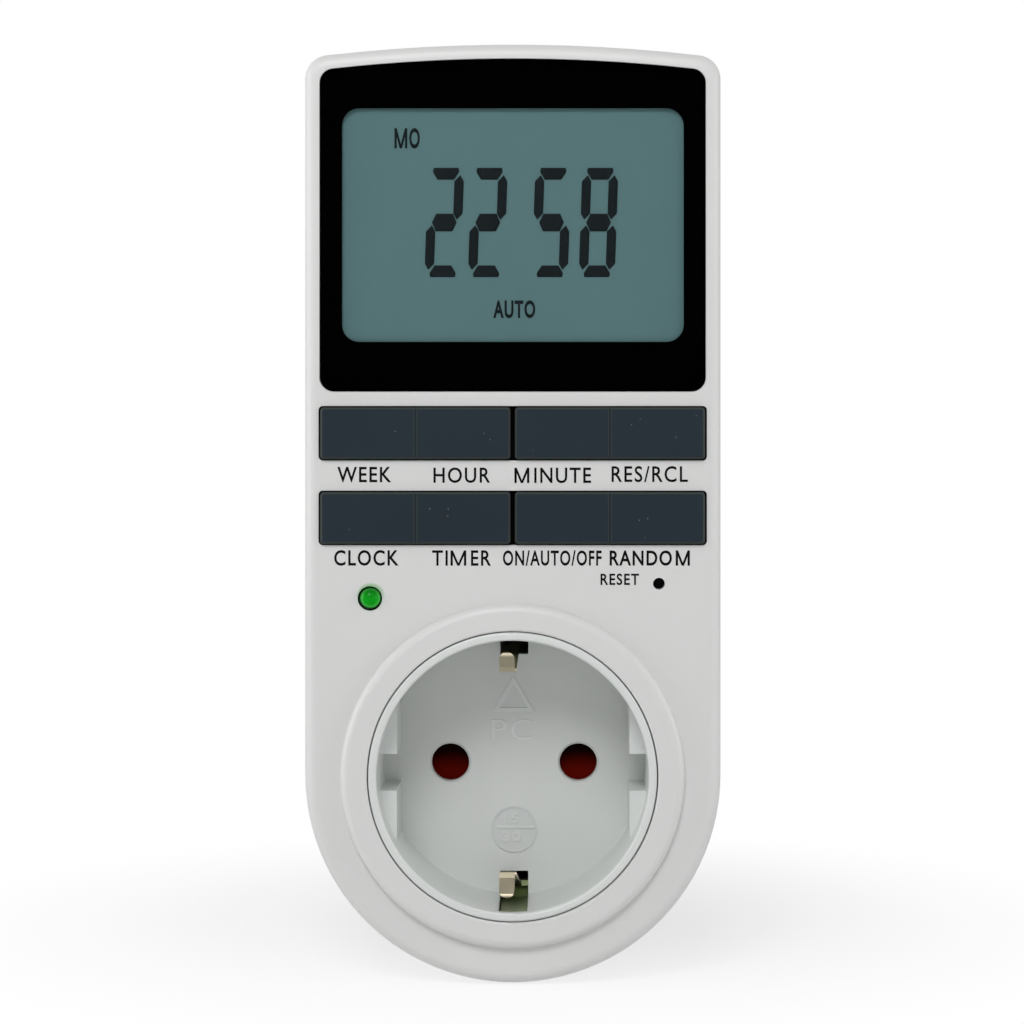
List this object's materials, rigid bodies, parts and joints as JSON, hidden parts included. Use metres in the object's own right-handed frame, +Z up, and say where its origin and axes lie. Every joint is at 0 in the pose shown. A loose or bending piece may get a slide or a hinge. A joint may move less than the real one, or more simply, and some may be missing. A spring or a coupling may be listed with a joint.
{
  "type": "plug in timer switch",
  "caption": "Upright plug-in timer with a segment display, rocking double keys, a lamp, a round earthed outlet in front and a round two-pin plug boss behind.",
  "frame": {"origin": "centre of the plug boss's end face, on the common axis of plug and outlet", "axes": "+Y into the wall along the plug pins, -Y to the person in front, +X to that person's right, +Z up"},
  "size_m": [0.0596, 0.0755, 0.1345],
  "materials": {
    "case_white": "white moulded plastic, fine satin",
    "cup_white": "slightly grey white moulded plastic",
    "inner_plastic": "natural moulded plastic",
    "shutter_red": "dark red moulded plastic",
    "clear_window": "clear hard-coated plastic",
    "mask_black": "black print behind the window",
    "lcd_face": "teal grey display face",
    "reflector": "satin reflector film",
    "elastomer": "pink layered elastomer",
    "silicone": "translucent silicone",
    "carbon": "matt carbon rubber",
    "led_green": "tinted clear epoxy",
    "switch_black": "black moulded plastic",
    "board_green": "green solder mask",
    "board_brown": "paper laminate",
    "epoxy_black": "glossy epoxy blob",
    "tin_metal": "tinned can",
    "chip_ceramic": "ceramic chips",
    "relay_blue": "blue moulded plastic",
    "copper_wire": "enamelled copper winding",
    "brass_strip": "stamped brass",
    "capacitor_yellow": "yellow moulded box",
    "capacitor_black": "shrink sleeve",
    "varistor_blue": "dipped epoxy",
    "resistor_tan": "lacquered body",
    "wire_brown": "brown insulation",
    "wire_blue": "blue insulation",
    "pin_nickel": "nickel-plated brass",
    "earth_metal": "nickel-plated spring strip",
    "strap_brass": "tarnished brass strip",
    "screw_steel": "zinc-plated steel",
    "key_slate": "dark slate moulded plastic"
  },
  "bodies": {
    "case": {"backup_cell": "tin_metal", "board_header": "switch_black", "board_screws": "screw_steel", "carbon_pills": "carbon", "case_screws": "screw_steel", "cell_tabs": "tin_metal", "chip_parts": "chip_ceramic", "contact_housing": "inner_plastic", "contact_wire": "wire_brown", "control_board": "board_green", "controller": "epoxy_black", "crystal": "tin_metal", "display_lens": "clear_window", "dropper_capacitor": "capacitor_yellow", "earth_bridge": "strap_brass", "fixed_contact": "brass_strip", "front_case": "case_white", "inner_screws": "screw_steel", "key_frame": "switch_black", "keypad_mat": "silicone", "lcd_frame": "inner_plastic", "lcd_panel": "lcd_face", "lcd_reflector": "reflector", "lens_mask": "mask_black", "line_contact": "brass_strip", "line_pin": "pin_nickel", "line_tab": "brass_strip", "lower_plug_earth": "earth_metal", "neutral_bar": "brass_strip", "neutral_contact": "brass_strip", "neutral_pin": "pin_nickel", "neutral_wire": "wire_blue", "pin_retainer": "inner_plastic", "pin_wire": "wire_brown", "power_board": "board_brown", "rear_case": "case_white", "rectifier_diodes": "switch_black", "relay_base": "switch_black", "relay_coil": "copper_wire", "relay_cover": "relay_blue", "relay_yoke": "tin_metal", "reset_switch": "switch_black", "resistors": "resistor_tan", "shutter_spring": "screw_steel", "smoothing_capacitor": "capacitor_black", "socket_cup": "cup_white", "status_led": "led_green", "upper_plug_earth": "earth_metal", "varistor": "varistor_blue", "zebra_connectors": "elastomer"},
    "week_hour_key": {"week_hour_key": "key_slate"},
    "minute_recall_key": {"minute_recall_key": "key_slate"},
    "clock_timer_key": {"clock_timer_key": "key_slate"},
    "mode_random_key": {"mode_random_key": "key_slate"},
    "reset_plunger": {"reset_plunger": "switch_black"},
    "shutter": {"shutter": "shutter_red"},
    "upper_earth_clip": {"upper_earth_clip": "earth_metal"},
    "lower_earth_clip": {"lower_earth_clip": "earth_metal"},
    "relay_armature": {"relay_armature": "tin_metal", "moving_contact": "brass_strip"}
  },
  "joints": [
    {"name": "week_hour_key_rock", "type": "hinge", "parent": "case", "child": "week_hour_key", "pos_m": [-0.01388, -0.0505, 0.04895], "axis": [0, 0, 1], "range_deg": [-3, 3], "stiffness_Nm_per_rad": 0.05, "deforming": ["keypad_mat"]},
    {"name": "minute_recall_key_rock", "type": "hinge", "parent": "case", "child": "minute_recall_key", "pos_m": [0.01388, -0.0505, 0.04895], "axis": [0, 0, 1], "range_deg": [-3, 3], "stiffness_Nm_per_rad": 0.05, "deforming": ["keypad_mat"]},
    {"name": "clock_timer_key_rock", "type": "hinge", "parent": "case", "child": "clock_timer_key", "pos_m": [-0.01388, -0.0505, 0.03685], "axis": [0, 0, 1], "range_deg": [-3, 3], "stiffness_Nm_per_rad": 0.05, "deforming": ["keypad_mat"]},
    {"name": "mode_random_key_rock", "type": "hinge", "parent": "case", "child": "mode_random_key", "pos_m": [0.01388, -0.0505, 0.03685], "axis": [0, 0, 1], "range_deg": [-3, 3], "stiffness_Nm_per_rad": 0.05, "deforming": ["keypad_mat"]},
    {"name": "reset_press", "type": "slide", "parent": "case", "child": "reset_plunger", "axis": [0, 1, 0], "range_m": [0, 0.0003], "stiffness_N_per_m": 1500},
    {"name": "shutter_turn", "type": "hinge", "parent": "case", "child": "shutter", "pos_m": [0, -0.03585, 0], "axis": [0, 1, 0], "range_deg": [0, 38], "stiffness_Nm_per_rad": 0.01, "deforming": ["shutter_spring"]},
    {"name": "upper_clip_flex", "type": "hinge", "parent": "case", "child": "upper_earth_clip", "pos_m": [-0.00055, -0.0346, 0.0187], "axis": [-1, 0, 0], "range_deg": [0, 8.5], "stiffness_Nm_per_rad": 0.2},
    {"name": "lower_clip_flex", "type": "hinge", "parent": "case", "child": "lower_earth_clip", "pos_m": [-0.00055, -0.0346, -0.0187], "axis": [1, 0, 0], "range_deg": [0, 8.5], "stiffness_Nm_per_rad": 0.2},
    {"name": "relay_pull", "type": "hinge", "parent": "case", "child": "relay_armature", "pos_m": [-0.0115, -0.03742, 0.04025], "axis": [-1, 0, 0], "range_deg": [0, 1.5], "stiffness_Nm_per_rad": 0.05}
  ]
}
